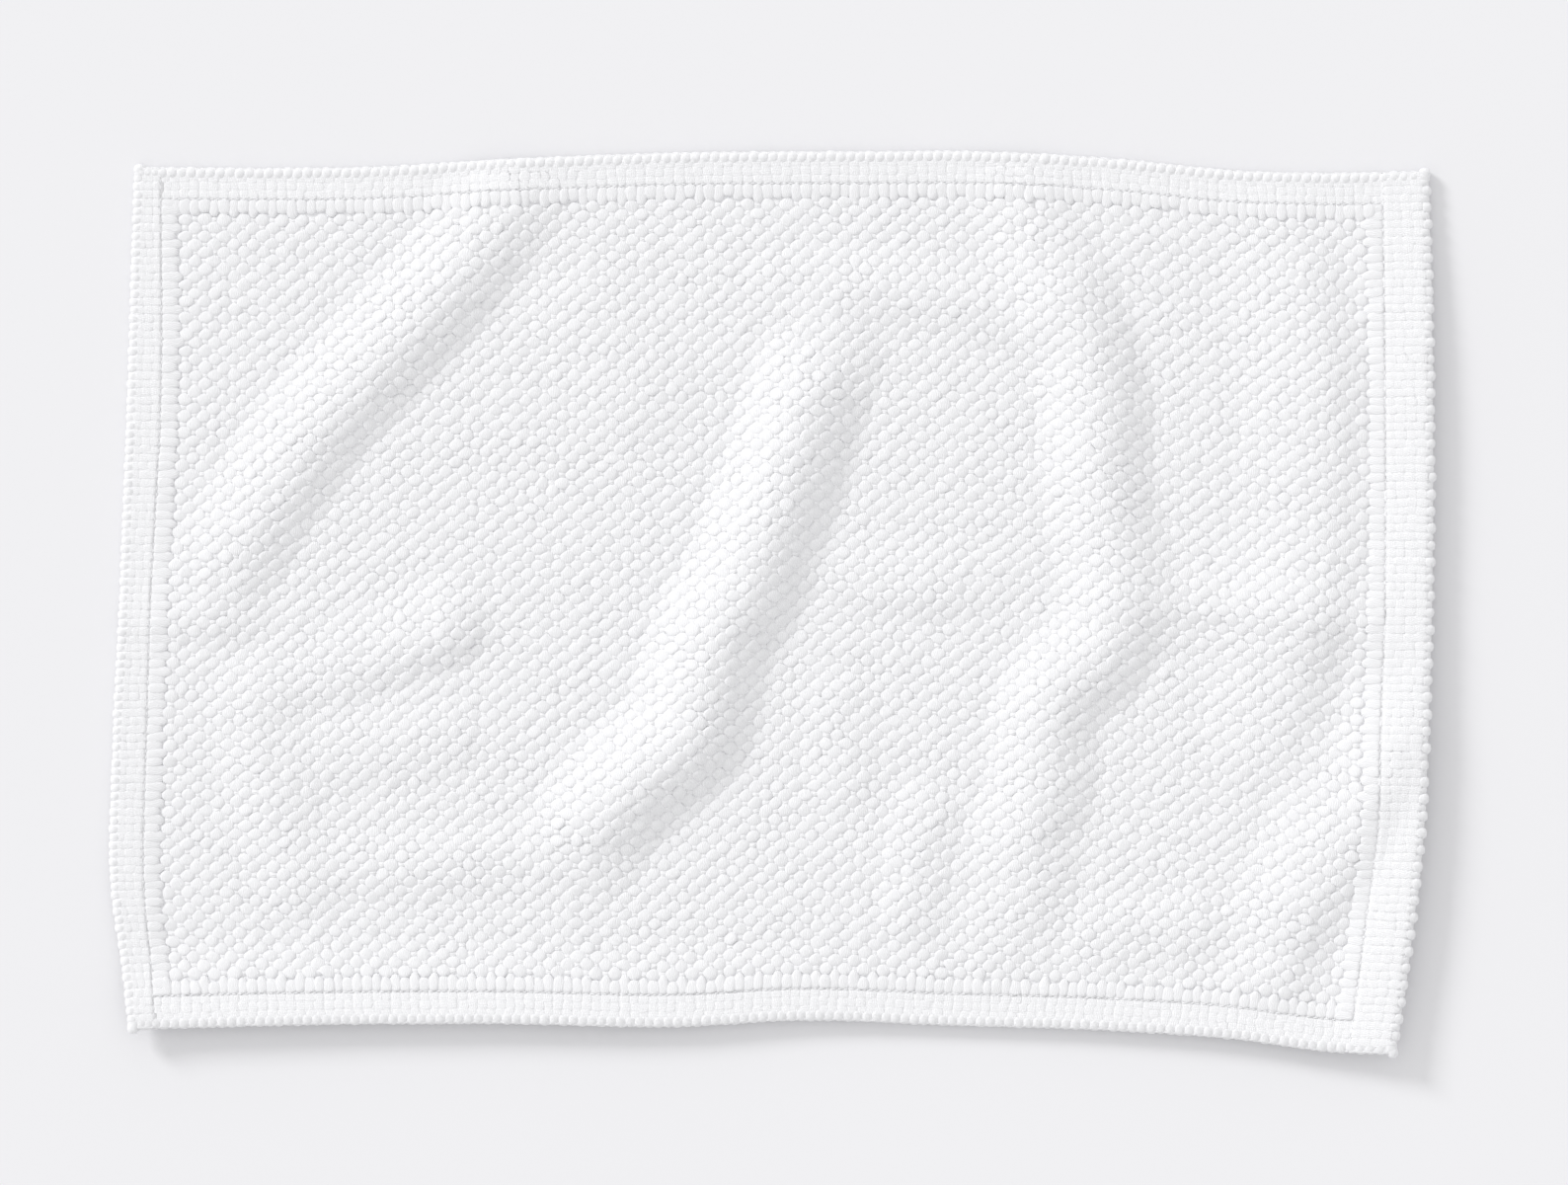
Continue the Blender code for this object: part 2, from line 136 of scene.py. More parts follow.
HALF_LENGTH = FLAT_LENGTH / 2
HALF_WIDTH = FLAT_WIDTH / 2
LEFT_SEAM_U = -HALF_LENGTH + LEFT_HEM
RIGHT_SEAM_U = HALF_LENGTH - RIGHT_HEM
BOTTOM_SEAM_V = -HALF_WIDTH + END_HEM
TOP_SEAM_V = HALF_WIDTH - END_HEM
LAID_PER_LENGTH = 1 - LENGTH_TAKEN_UP
LAID_PER_WIDTH = 1 - WIDTH_TAKEN_UP
CREST_SAMPLES = 12


def smooth_through(knots, places):
    """Smooth curve through a few knots (place, value), read at the given places."""
    at = np.array([place for place, _ in knots])
    value = np.array([amount for _, amount in knots])
    slope = np.gradient(value, at)
    places = np.clip(places, at[0], at[-1])
    index = np.clip(np.searchsorted(at, places, side="right") - 1, 0, len(at) - 2)
    span = at[index + 1] - at[index]
    t = (places - at[index]) / span
    start = (1 + 2 * t) * (1 - t) ** 2 * value[index] + t * (1 - t) ** 2 * span * slope[index]
    end = t ** 2 * (3 - 2 * t) * value[index + 1] - t ** 2 * (1 - t) * span * slope[index + 1]
    return start + end


def crest_line(points):
    """Dense smooth line through a fold's crest points: flat metres, and share of its height."""
    along = np.arange(len(points))
    fine = np.linspace(0, len(points) - 1, (len(points) - 1) * CREST_SAMPLES + 1)
    u, v, share = (smooth_through(list(zip(along, column)), fine) for column in zip(*points))
    return u * HALF_LENGTH, v * HALF_WIDTH, share


def fold_height(u, v, fold):
    """Height that one fold adds: a cosine hump across the crest that dies out past its ends."""
    points, height, (left_reach, right_reach) = fold
    crest_u, crest_v, share = crest_line(points)
    nearest = np.hypot(u[..., None] - crest_u, v[..., None] - crest_v).argmin(axis=-1)
    off_u = u - crest_u[nearest]
    off_v = v - crest_v[nearest]
    away = np.hypot(off_u, off_v)
    along_u = np.gradient(crest_u)[nearest]
    along_v = np.gradient(crest_v)[nearest]
    to_left = along_u * off_v - along_v * off_u
    leftness = to_left / np.maximum(np.hypot(along_u, along_v) * away, 1e-9)
    reach = right_reach + (left_reach - right_reach) * (1 + leftness) / 2
    hump = 0.5 * (1 + np.cos(math.pi * np.minimum(away / reach, 1)))
    return height * share[nearest] * hump


def edge_lift(inset, place, lift, reach):
    """Height that a lifted edge adds, dying out at its reach inside the edge."""
    share = 0.5 * (1 + np.cos(math.pi * np.clip(inset / reach, 0, 1)))
    return smooth_through(lift, place) * share


def underside_height(u, v):
    """How far the underside of the cloth is off the floor."""
    folds = sum(fold_height(u, v, fold) for fold in FOLDS)
    lifts = (
        edge_lift(u + HALF_LENGTH, v / HALF_WIDTH, LEFT_LIFT, LEFT_REACH),
        edge_lift(HALF_LENGTH - u, v / HALF_WIDTH, RIGHT_LIFT, RIGHT_REACH),
        edge_lift(HALF_WIDTH - v, u / HALF_LENGTH, TOP_LIFT, TOP_REACH),
        edge_lift(v + HALF_WIDTH, u / HALF_LENGTH, BOTTOM_LIFT, BOTTOM_REACH),
    )
    edges = sum(np.maximum(lift, 0) ** 3 for lift in lifts) ** (1 / 3)
    return np.maximum(folds + edges - SETTLING, 0)


def between_lines(at, lines, places):
    """Place in the room between the lines on both sides of it."""
    result = lines[0] + (places - at[0]) * (lines[1] - lines[0]) / (at[1] - at[0])
    for index in (1, 2):
        share = (places - at[index]) / (at[index + 1] - at[index])
        stretch = lines[index] + share * (lines[index + 1] - lines[index])
        result = np.where(places > at[index], stretch, result)
    return result


def laid_x(u, v):
    """Place across the room of flat points, before centring."""
    place = v / HALF_WIDTH
    right = smooth_through(RIGHT_DRIFT, place)
    lines = (
        -HALF_LENGTH * LAID_PER_LENGTH - smooth_through(LEFT_EDGE_DRIFT, place),
        LEFT_SEAM_U * LAID_PER_LENGTH - smooth_through(LEFT_SEAM_DRIFT, place),
        RIGHT_SEAM_U * LAID_PER_LENGTH + right,
        HALF_LENGTH * LAID_PER_LENGTH + right,
    )
    return between_lines((-HALF_LENGTH, LEFT_SEAM_U, RIGHT_SEAM_U, HALF_LENGTH), lines, u)


def laid_y(u, v):
    """Place along the room's other way of flat points, before centring."""
    place = u / HALF_LENGTH
    top = smooth_through(TOP_DRIFT, place)
    bottom = smooth_through(BOTTOM_DRIFT, place)
    lines = (
        -HALF_WIDTH * LAID_PER_WIDTH - bottom,
        BOTTOM_SEAM_V * LAID_PER_WIDTH - bottom,
        TOP_SEAM_V * LAID_PER_WIDTH + top,
        HALF_WIDTH * LAID_PER_WIDTH + top,
    )
    return between_lines((-HALF_WIDTH, BOTTOM_SEAM_V, TOP_SEAM_V, HALF_WIDTH), lines, v)


edge_run = np.linspace(-1, 1, 200)
edge_ends = np.ones_like(edge_run)
CENTRE_X = (
    laid_x(-HALF_LENGTH * edge_ends, edge_run * HALF_WIDTH).min()
    + laid_x(HALF_LENGTH * edge_ends, edge_run * HALF_WIDTH).max()
) / 2
CENTRE_Y = (
    laid_y(edge_run * HALF_LENGTH, -HALF_WIDTH * edge_ends).min()
    + laid_y(edge_run * HALF_LENGTH, HALF_WIDTH * edge_ends).max()
) / 2


def lie(u, v):
    """Place in the room of flat points, halfway through the cloth."""
    u = np.asarray(u, dtype=float)
    v = np.asarray(v, dtype=float)
    z = underside_height(u, v) + THICKNESS / 2
    return np.stack((laid_x(u, v) - CENTRE_X, laid_y(u, v) - CENTRE_Y, z), axis=-1)


SLOPE_STEP = 0.0015                      # distance over which the cloth's slope is taken


def cloth_frames(u, v):
    """Where flat points lie, with the laid directions of u and v and the cloth's normal there."""
    place = lie(u, v)
    along_u = (lie(u + SLOPE_STEP, v) - lie(u - SLOPE_STEP, v)) / (2 * SLOPE_STEP)
    along_v = (lie(u, v + SLOPE_STEP) - lie(u, v - SLOPE_STEP)) / (2 * SLOPE_STEP)
    normal = np.cross(along_u, along_v)
    normal /= np.linalg.norm(normal, axis=-1, keepdims=True)
    return place, along_u, along_v, normal


# ==== Cotton ====
# Soft white cotton yarn of many fine strands laid side by side with little twist. It is matt,
# with a faint bloom of loose fibre that lightens it where it turns away.

STRAND_WANDER = 0.28                     # how often a strand's path changes, per millimetre
STRAND_BEND = 3.2                        # millimetres that it wanders to the side
STRAND_TWIST = 0.28                      # sideways drift for each unit along the yarn
STRAND_RELIEF = 0.0006                   # metres from the tops of the strands to the gaps
FIBRE_SCALE = 1.6                        # size of the loose fibre, per millimetre, and its grain
FIBRE_GRAIN = (1.4, 0.35, 1)
FIBRE_SHARE = 1.5                        # its height against that of the strands
CROSSING_SPACING = 1.9                   # millimetres between the finer yarns across a flat weave
CROSSING_BEND = 4.0                      # millimetres that they wander
# Below this height a strand is painted toward its shade colour: painted shade in the gaps between
# strands.
TONE_FULL = 0.35                         # height at which a strand has its full colour


def math_node(group, operation, *values):
    """Math node with numbers or other nodes' outputs put in; gives its output."""
    node = group.nodes.new("ShaderNodeMath")
    node.operation = operation
    for socket, value in zip(node.inputs, values):
        if isinstance(value, (int, float)):
            socket.default_value = value
        else:
            group.links.new(value, socket)
    return node.outputs["Value"]


def strand_group():
    """Node group: fine strands along a yarn, and loose fibre over them, from the yarn's own UV, with
    painted shade in the gaps between strands.
    """
    group = bpy.data.node_groups.new("Yarn strands", "ShaderNodeTree")
    for name in ("Strand width", "Depth", "Weave"):
        group.interface.new_socket(name, in_out="INPUT", socket_type="NodeSocketFloat")
    for name in ("Colour", "Painted gap shade"):
        group.interface.new_socket(name, in_out="INPUT", socket_type="NodeSocketColor")
    group.interface.new_socket("Colour", in_out="OUTPUT", socket_type="NodeSocketColor")
    group.interface.new_socket("Normal", in_out="OUTPUT", socket_type="NodeSocketVector")
    nodes, links = group.nodes, group.links
    inside = nodes.new("NodeGroupInput")
    out = nodes.new("NodeGroupOutput")
    uv = nodes.new("ShaderNodeUVMap")
    uv.uv_map = "yarn"

    # the strands: the UV is in millimetres, across the yarn and then along it
    wander = nodes.new("ShaderNodeTexNoise")
    wander.inputs["Scale"].default_value = STRAND_WANDER
    wander.inputs["Detail"].default_value = 2
    links.new(uv.outputs["UV"], wander.inputs["Vector"])
    split = nodes.new("ShaderNodeSeparateXYZ")
    links.new(uv.outputs["UV"], split.inputs["Vector"])
    bend = math_node(group, "MULTIPLY_ADD", wander.outputs["Fac"], STRAND_BEND, split.outputs["X"])
    twist = math_node(group, "MULTIPLY_ADD", split.outputs["Y"], STRAND_TWIST, bend)
    turns = math_node(group, "DIVIDE", twist, inside.outputs["Strand width"])
    wave = math_node(group, "SINE", math_node(group, "MULTIPLY", turns, 2 * math.pi))
    strands = nodes.new("ShaderNodeMapRange")
    strands.inputs["From Min"].default_value = -1
    links.new(wave, strands.inputs["Value"])

    # the loose fibre over them
    fibre = nodes.new("ShaderNodeTexNoise")
    fibre.inputs["Scale"].default_value = FIBRE_SCALE
    fibre.inputs["Detail"].default_value = 4
    fibre.inputs["Roughness"].default_value = 0.65
    stretch = nodes.new("ShaderNodeMapping")
    stretch.inputs["Scale"].default_value = FIBRE_GRAIN
    links.new(uv.outputs["UV"], stretch.inputs["Vector"])
    links.new(stretch.outputs["Vector"], fibre.inputs["Vector"])
    height = math_node(
        group, "MULTIPLY_ADD", fibre.outputs["Fac"], FIBRE_SHARE, strands.outputs["Result"],
    )

    # the finer yarns that cross the strands where the weave is flat
    crossing_bend = math_node(
        group, "MULTIPLY_ADD", wander.outputs["Fac"], CROSSING_BEND, split.outputs["Y"],
    )
    crossing_angle = math_node(group, "MULTIPLY", crossing_bend, 2 * math.pi / CROSSING_SPACING)
    crossing = math_node(group, "SINE", crossing_angle)
    bump = nodes.new("ShaderNodeBump")
    bump.inputs["Distance"].default_value = STRAND_RELIEF
    links.new(inside.outputs["Depth"], bump.inputs["Strength"])
    links.new(math_node(group, "MULTIPLY_ADD", crossing, inside.outputs["Weave"], height),
              bump.inputs["Height"])
    links.new(bump.outputs["Normal"], out.inputs["Normal"])

    # painted shade: the gaps between strands are painted a little darker than their tops, and the
    # loose fibre varies it at random
    tone = nodes.new("ShaderNodeMapRange")
    tone.inputs["From Max"].default_value = TONE_FULL
    links.new(math_node(group, "MULTIPLY", strands.outputs["Result"], fibre.outputs["Fac"]),
              tone.inputs["Value"])
    mix = nodes.new("ShaderNodeMix")
    mix.data_type = "RGBA"
    links.new(tone.outputs["Result"], mix.inputs["Factor"])
    links.new(inside.outputs["Painted gap shade"], mix.inputs[6])
    links.new(inside.outputs["Colour"], mix.inputs[7])
    links.new(mix.outputs[2], out.inputs["Colour"])
    return group


yarn_strands = strand_group()


def cotton_material(name, colour, painted_gap_shade, strand_width, depth, weave):
    """Matt cotton: its colour and the painted shade of the gaps between strands, strand width in
    millimetres, relief and crossing yarns.
    """
    material = bpy.data.materials.new(name)
    material.use_nodes = True
    nodes, links = material.node_tree.nodes, material.node_tree.links
    shader = nodes["Principled BSDF"]
    shader.inputs["Roughness"].default_value = 0.95
    shader.inputs["Specular IOR Level"].default_value = 0.15
    shader.inputs["Sheen Weight"].default_value = 0.12
    shader.inputs["Sheen Roughness"].default_value = 0.6
    strands = nodes.new("ShaderNodeGroup")
    strands.node_tree = yarn_strands
    strands.inputs["Strand width"].default_value = strand_width
    strands.inputs["Colour"].default_value = (*colour, 1)
    strands.inputs["Painted gap shade"].default_value = (*painted_gap_shade, 1)
    strands.inputs["Depth"].default_value = depth
    strands.inputs["Weave"].default_value = weave
    links.new(strands.outputs["Colour"], shader.inputs["Base Color"])
    links.new(strands.outputs["Normal"], shader.inputs["Normal"])
    return material


pebble_cotton = cotton_material(
    "Pebble cotton", (0.880, 0.880, 0.897), (0.815, 0.815, 0.830), 1.25, 0.44, 0.0,
)
# The hem cotton is the same yarn as the pebble cotton, painted lighter: painted light for the flat hem
# weave, which lies in less shade than the pebbles.
band_cotton = cotton_material(
    "Hem cotton", (0.905, 0.905, 0.922), (0.842, 0.842, 0.857), 1.2, 0.44, 0.3,
)
sewing_cotton = cotton_material(
    "Sewing thread", (0.89, 0.89, 0.905), (0.81, 0.81, 0.825), 0.3, 0.3, 0.0,
)


# ==== Ground of the cloth ====
# Under the pebbles the yarns cross in a dense ground that runs from edge to edge. It is what
# shows deep in the gaps, and it carries everything else.

GROUND_HALF = 0.0024
GROUND_CELL = 0.0065
GROUND_INSET = 0.0030


def yarn_uv(piece, across_and_along):
    """Give a piece its yarn UV from the place of each point, in metres across and along."""
    mesh = piece.data
    while mesh.uv_layers:
        mesh.uv_layers.remove(mesh.uv_layers[0])
    layer = mesh.uv_layers.new(name="yarn")
    corners = np.empty(len(mesh.loops), dtype=np.int32)
    mesh.loops.foreach_get("vertex_index", corners)
    layer.data.foreach_set("uv", (across_and_along[corners] * 1000).astype(np.float32).ravel())


def flat_sheet(name, u_range, v_range, cell, half, material):
    """Closed sheet of laid cloth over a flat rectangle; half gives half its thickness at (u, v)."""
    bpy.ops.object.select_all(action="DESELECT")
    columns = max(3, round((u_range[1] - u_range[0]) / cell))
    rows = max(3, round((v_range[1] - v_range[0]) / cell))
    bpy.ops.mesh.primitive_grid_add(x_subdivisions=columns, y_subdivisions=rows, size=1)
    sheet = bpy.context.object
    sheet.name = name
    bpy.ops.object.mode_set(mode="EDIT")
    bpy.ops.mesh.select_all(action="SELECT")
    bpy.ops.mesh.extrude_region_move(TRANSFORM_OT_translate={"value": (0, 0, 1)})
    bpy.ops.mesh.select_all(action="SELECT")
    bpy.ops.mesh.normals_make_consistent(inside=False)
    bpy.ops.object.mode_set(mode="OBJECT")
    grid = np.array([vert.co for vert in sheet.data.vertices])
    u = u_range[0] + (grid[:, 0] + 0.5) * (u_range[1] - u_range[0])
    v = v_range[0] + (grid[:, 1] + 0.5) * (v_range[1] - v_range[0])
    place, _, _, normal = cloth_frames(u, v)
    rise = (2 * np.round(grid[:, 2]) - 1) * half(u, v)
    laid = place + rise[:, None] * normal
    sheet.data.vertices.foreach_set("co", laid.astype(np.float32).ravel())
    yarn_uv(sheet, np.stack((v, u), axis=-1))
    sheet.data.update()
    bpy.ops.object.shade_smooth()
    sheet.data.materials.append(material)
    return sheet


ground = flat_sheet(
    "cloth_ground",
    (-HALF_LENGTH + GROUND_INSET, HALF_LENGTH - GROUND_INSET),
    (-HALF_WIDTH + GROUND_INSET, HALF_WIDTH - GROUND_INSET),
    GROUND_CELL, lambda u, v: GROUND_HALF + 0 * u, pebble_cotton,
)
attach(ground, "root")
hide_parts("woven_field")


# ==== Pebbles of the field ====
# In the field each thick lengthwise yarn comes up over every other crosswise yarn, one row on
# this yarn and the next row on its neighbour, and stands up as a soft round pebble. The reverse
# of the cloth shows the same pebbles on the cells between.

chance = np.random.default_rng(24)

COLUMNS = 126
ROWS = 97
BORDER_CELLS = 2
COLUMN_PITCH = (RIGHT_SEAM_U - LEFT_SEAM_U) / COLUMNS
ROW_PITCH = (TOP_SEAM_V - BOTTOM_SEAM_V) / ROWS
WANDER = 0.0003                          # slow drift of the cells, and its reach in cells
WANDER_REACH = 2
CELL_JITTER = 0.00015                    # chance offset of each cell on top of that
FLOOR_CLEAR = 0.0001                     # no yarn goes lower than this
OUTLINE_LOBES = (2, 3)


def model_pillow(name, sides, rings, across, along, height, plump=2.5, square=2.3):
    """One yarn where it floats over another: a soft pillow on a flat base, its length on Y.

    rings are shares of the radius, from the rim inwards. plump says how flat the top is against
    its sides, and square how square the outline is. Returns points, faces and yarn UV.
    """
    bpy.ops.object.select_all(action="DESELECT")
    bpy.ops.mesh.primitive_circle_add(vertices=sides, radius=1, fill_type="NGON")
    pillow = bpy.context.object
    pillow.name = name
    bpy.ops.object.mode_set(mode="EDIT")
    bpy.ops.mesh.select_all(action="SELECT")
    reach = 1
    for ring in rings:
        bpy.ops.mesh.extrude_region_move(TRANSFORM_OT_translate={"value": (0, 0, 0.1)})
        bpy.ops.transform.resize(value=(ring / reach, ring / reach, 1), center_override=(0, 0, 0))
        reach = ring
    bpy.ops.mesh.poke()
    bpy.ops.mesh.select_all(action="SELECT")
    bpy.ops.mesh.normals_make_consistent(inside=False)
    bpy.ops.object.mode_set(mode="OBJECT")
    points = np.array([vert.co for vert in pillow.data.vertices])
    faces = [tuple(face.vertices) for face in pillow.data.polygons]
    bpy.data.objects.remove(pillow)
    radius = np.hypot(points[:, 0], points[:, 1])
    rise = (1 - np.minimum(radius, 1) ** plump) ** (1 / plump)
    outline = (abs(points[:, :2]) ** square).sum(axis=1) ** (1 / square)
    points[:, :2] *= (radius / np.maximum(outline, 1e-6))[:, None]
    points[:, 2] = rise
    points *= (across / 2, along / 2, height)
    return points, faces, points[:, :2] * 1000


def finish_mesh(name, points, faces, uvs, material):
    """Object from copies of one set of faces, shaded smooth, with its yarn UV."""
    per_copy = max(max(face) for face in faces) + 1
    copies = len(points) // per_copy
    corner = np.concatenate([np.asarray(face) for face in faces])
    size = np.array([len(face) for face in faces])
    shift = np.arange(copies)[:, None]
    corners = (corner[None] + shift * per_copy).ravel().astype(np.int32)
    starts = np.concatenate(([0], np.cumsum(size)[:-1]))
    starts = (starts[None] + shift * len(corner)).ravel().astype(np.int32)
    mesh = bpy.data.meshes.new(name)
    mesh.vertices.add(len(points))
    mesh.vertices.foreach_set("co", points.astype(np.float32).ravel())
    mesh.loops.add(len(corners))
    mesh.loops.foreach_set("vertex_index", corners)
    mesh.polygons.add(len(starts))
    mesh.polygons.foreach_set("loop_start", starts)
    mesh.update(calc_edges=True)
    layer = mesh.uv_layers.new(name="yarn")
    layer.data.foreach_set("uv", uvs[corners].astype(np.float32).ravel())
    mesh.shade_smooth()
    mesh.materials.append(material)
    piece = bpy.data.objects.new(name, mesh)
    bpy.context.scene.collection.objects.link(piece)
    return piece


def lay_copies(name, model, u, v, level, side, material, turn=0.0, vary=(0.045, 0.11, 0.04),
               shape=(1, 1, 1), within=None):
    """Copies of a model on the cloth at flat points, each a little different from the next.

    level is how far the base stands from the middle of the cloth, side is 1 for the face and -1
    for the reverse, and vary gives the chance changes in size, turn and outline. shape scales each
    copy, and within is the flat rectangle (u from, u to, v from, v to) that holds them in.
    """
    points, faces, uvs = model
    count = len(u)
    size_change, turn_change, outline_change = vary
    place, along_u, along_v, normal = cloth_frames(u, v)
    size = 1 + chance.normal(0, size_change, (count, 3)).clip(-2 * size_change, 2 * size_change)
    local = points[None] * (size * shape)[:, None, :]
    around = np.arctan2(points[:, 1], points[:, 0])
    for lobes in OUTLINE_LOBES:
        phase = chance.uniform(0, 2 * math.pi, (count, 1))
        amount = chance.normal(0, outline_change, (count, 1))
        local[..., :2] *= (1 + amount * np.cos(lobes * around - phase))[..., None]
    angle = turn + chance.normal(0, turn_change, count)
    tilt = chance.normal(0, 0.5 * turn_change, (count, 2))
    cos, sin = np.cos(angle)[:, None], np.sin(angle)[:, None]
    x = local[..., 0] * cos - local[..., 1] * sin
    y = local[..., 0] * sin + local[..., 1] * cos
    z = local[..., 2] + x * tilt[:, :1] + y * tilt[:, 1:] + np.reshape(level, (-1, 1))
    if within:
        x = np.clip(x, within[0] - u[:, None], within[1] - u[:, None])
        y = np.clip(y, within[2] - v[:, None], within[3] - v[:, None])
    spots = (
        place[:, None]
        + x[..., None] * along_u[:, None]
        + y[..., None] * along_v[:, None]
        + side * z[..., None] * normal[:, None]
    )
    spots[..., 2] = np.maximum(spots[..., 2], FLOOR_CLEAR)
    offsets = chance.uniform(0, 400, (count, 1, 2))
    yarn = uvs[None] * np.broadcast_to(shape, (count, 3))[:, None, :2] + offsets
    outward = [face[::side] for face in faces]
    return finish_mesh(name, spots.reshape(-1, 3), outward, yarn.reshape(-1, 2), material)


def slow_chance(rows, columns, reach):
    """Chance field over the cells that changes slowly from one cell to the next."""
    kernel = np.exp(-0.5 * (np.arange(-2 * reach, 2 * reach + 1) / reach) ** 2)
    field = chance.normal(0, 1, (rows + 4 * reach, columns + 4 * reach))
    for axis in (0, 1):
        field = np.apply_along_axis(np.convolve, axis, field, kernel, "valid")
    return field / field.std()


drift_u = WANDER * slow_chance(ROWS, COLUMNS, WANDER_REACH)
drift_v = WANDER * slow_chance(ROWS, COLUMNS, WANDER_REACH)


def field_cells(parity):
    """Flat middles of the field's cells of one parity, inside the border of loops."""
    j, i = np.mgrid[BORDER_CELLS:ROWS - BORDER_CELLS, BORDER_CELLS:COLUMNS - BORDER_CELLS]
    keep = (i + j) % 2 == parity
    i, j = i[keep], j[keep]
    u = LEFT_SEAM_U + (i + 0.5) * COLUMN_PITCH + drift_u[j, i]
    v = TOP_SEAM_V - (j + 0.5) * ROW_PITCH + drift_v[j, i]
    return u + chance.normal(0, CELL_JITTER, len(u)), v + chance.normal(0, CELL_JITTER, len(v))


PEBBLE_ACROSS = 0.0118
PEBBLE_ALONG = 0.0103
PEBBLE_BASE = 0.0009
PEBBLE_HEIGHT = 0.0032
PEBBLE_SHAPE = (PEBBLE_ACROSS, PEBBLE_ALONG, PEBBLE_HEIGHT, 3.6, 1.65)
PEBBLE_STRIPS = 4
CROSSING_TOP = 0.0037                    # top of the crosswise yarns over the cloth's middle
CROSSING_HEIGHT = 0.0026
face_pebble = model_pillow("pebble", 12, (0.975, 0.90, 0.72, 0.38), *PEBBLE_SHAPE)
back_pebble = model_pillow("back pebble", 12, (0.94, 0.66), *PEBBLE_SHAPE)
crossing = model_pillow("crosswise yarn", 8, (0.85,), 0.0056, 0.0080, CROSSING_HEIGHT, 2.8)

over_u, over_v = field_cells(0)
under_u, under_v = field_cells(1)
woven_pieces = []
over_strips = np.array_split(np.argsort(over_u, kind="stable"), PEBBLE_STRIPS)
under_strips = np.array_split(np.argsort(under_u, kind="stable"), PEBBLE_STRIPS)
for number, (over, back) in enumerate(zip(over_strips, under_strips), 1):
    woven_pieces.append(
        lay_copies(f"pebbles_{number}", face_pebble, over_u[over], over_v[over], PEBBLE_BASE, 1,
                   pebble_cotton)
    )
    woven_pieces.append(
        lay_copies(f"back_pebbles_{number}", back_pebble, under_u[back], under_v[back], PEBBLE_BASE,
                   -1, pebble_cotton)
    )
for side, label, u, v in ((1, "face", under_u, under_v), (-1, "back", over_u, over_v)):
    woven_pieces.append(
        lay_copies(f"{label}_crosswise_yarns", crossing, u, v, CROSSING_TOP - CROSSING_HEIGHT, side,
                   pebble_cotton, turn=math.pi / 2)
    )
for piece in woven_pieces:
    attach(piece, "root")


# ==== Border loops ====
# Where the pebbles end, each yarn floats once over two others before it goes into the hem, so
# the field is framed by a row of long loops that dive into the seam.

SEAM_CLEAR = 0.0003                      # the yarns stop this far from the line of stitches
LOOP_BASE = 0.0011
LOOP_HEIGHT = 0.0032
LOOP_VARY = (0.05, 0.06, 0.03)
LOOP_LIMIT = 0.02                        # no loop reaches further in than this
SIDE_LOOP_START = -0.0028
SIDE_LOOP_LENGTHS = (0.0154, 0.0180)     # beside a last pebble, and between two of them
END_LOOP_START = -0.0018
END_LOOP_LENGTHS = (0.0126, 0.0152)
END_LOOP_WIDTHS = (0.0102, 0.0084)
side_loop = model_pillow("side loop", 12, (0.95, 0.82, 0.5), 0.0086, 1, LOOP_HEIGHT, 4.2, 2.4)
end_loop = model_pillow("end loop", 12, (0.95, 0.82, 0.5), 1, 1, LOOP_HEIGHT, 4.4, 2.2)

row = np.arange(ROWS)
column = np.arange(1, COLUMNS - 1)
row_v = TOP_SEAM_V - (row + 0.5) * ROW_PITCH
column_u = LEFT_SEAM_U + (column + 0.5) * COLUMN_PITCH
field_v = (BOTTOM_SEAM_V + SEAM_CLEAR, TOP_SEAM_V - SEAM_CLEAR)
loop_pieces = []
for side, label in ((1, "face"), (-1, "back")):
    for seam_u, inwards, where in ((LEFT_SEAM_U, 1, "left"), (RIGHT_SEAM_U, -1, "right")):
        between = (row + (inwards < 0) + (side < 0)) % 2
        length = np.choose(between, SIDE_LOOP_LENGTHS) * (1 + chance.normal(0, 0.04, len(row)))
        u = seam_u + inwards * (SIDE_LOOP_START + length / 2)
        shape = np.stack((np.ones_like(length), length, np.ones_like(length)), axis=-1)
        inner_u = sorted((seam_u + inwards * SEAM_CLEAR, seam_u + inwards * LOOP_LIMIT))
        loop_pieces.append(
            lay_copies(f"{label}_loops_{where}", side_loop, u, row_v, LOOP_BASE, side, pebble_cotton,
                       math.pi / 2, LOOP_VARY, shape, (*inner_u, *field_v))
        )
    for seam_v, inwards, where in ((BOTTOM_SEAM_V, 1, "bottom"), (TOP_SEAM_V, -1, "top")):
        between = (column + (side < 0)) % 2
        length = np.choose(between, END_LOOP_LENGTHS) * (1 + chance.normal(0, 0.06, len(column)))
        width = np.choose(between, END_LOOP_WIDTHS)
        v = seam_v + inwards * (END_LOOP_START + length / 2)
        shape = np.stack((width, length, np.ones_like(length)), axis=-1)
        inner_v = sorted((seam_v + inwards * SEAM_CLEAR, seam_v + inwards * LOOP_LIMIT))
        loop_pieces.append(
            lay_copies(f"{label}_loops_{where}", end_loop, column_u, v, LOOP_BASE, side, pebble_cotton,
                       0.0, LOOP_VARY, shape, (-HALF_LENGTH, HALF_LENGTH, *inner_v))
        )
for piece in loop_pieces:
    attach(piece, "root")


# ==== Hems ====
# Outside the field the same yarns go over and under singly, which makes a flat band. It is
# turned under once, pressed and sewn; the side hems are turned last and run over the end hems.

